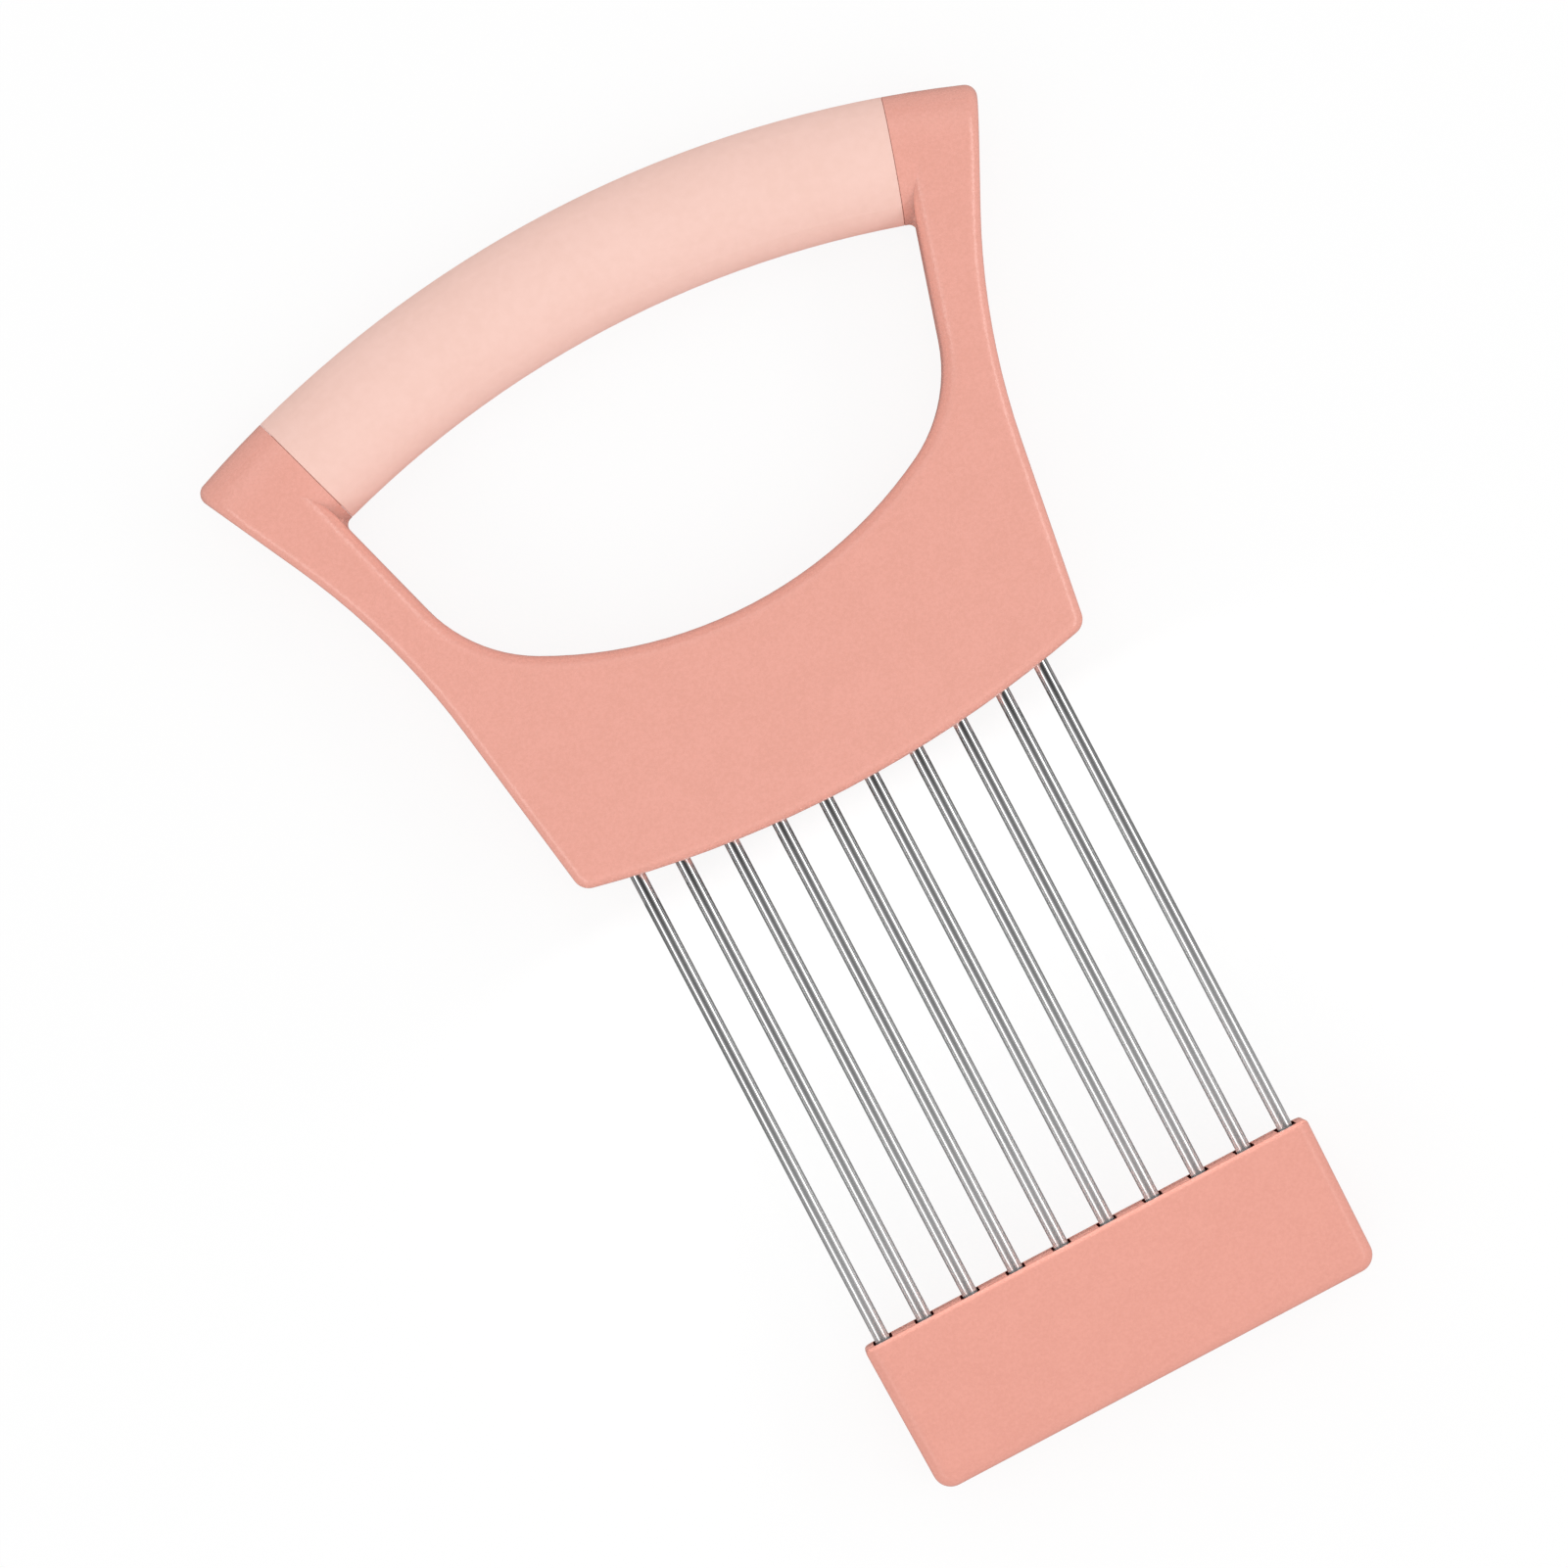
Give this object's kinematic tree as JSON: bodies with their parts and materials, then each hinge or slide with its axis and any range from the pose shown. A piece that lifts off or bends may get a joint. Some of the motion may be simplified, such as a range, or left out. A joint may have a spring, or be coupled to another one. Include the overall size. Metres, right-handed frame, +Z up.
{
  "type": "slicing holder",
  "caption": "Food slicing holder: parallel pointed steel tines in a flat loop handle with a soft bowed grip, and a moulded cover that slides off the points.",
  "frame": {"origin": "bottom centre of the box round the whole part, lying on its back with the cover on", "axes": "+X across the tines to the right, +Y along the tines from the cover to the grip, +Z up out of the front face"},
  "size_m": [0.112, 0.168, 0.014],
  "materials": {
    "handle_plastic": "fine grain",
    "cover_plastic": "satin",
    "soft_grip": "matt",
    "carrier_plastic": "plain",
    "tine_steel": "polished"
  },
  "bodies": {
    "handle": {"handle_front_shell": "handle_plastic", "handle_rear_shell": "handle_plastic", "grip_pad_front": "soft_grip", "grip_pad_rear": "soft_grip", "tine_carrier": "carrier_plastic", "tine_01": "tine_steel", "tine_02": "tine_steel", "tine_03": "tine_steel", "tine_04": "tine_steel", "tine_05": "tine_steel", "tine_06": "tine_steel", "tine_07": "tine_steel", "tine_08": "tine_steel", "tine_09": "tine_steel", "tine_10": "tine_steel"},
    "cover": {"tip_cover": "cover_plastic"}
  },
  "joints": [
    {"name": "cover_slide", "type": "slide", "parent": "handle", "child": "cover", "axis": [0, -1, 0], "range_m": [0, 0.04]}
  ]
}
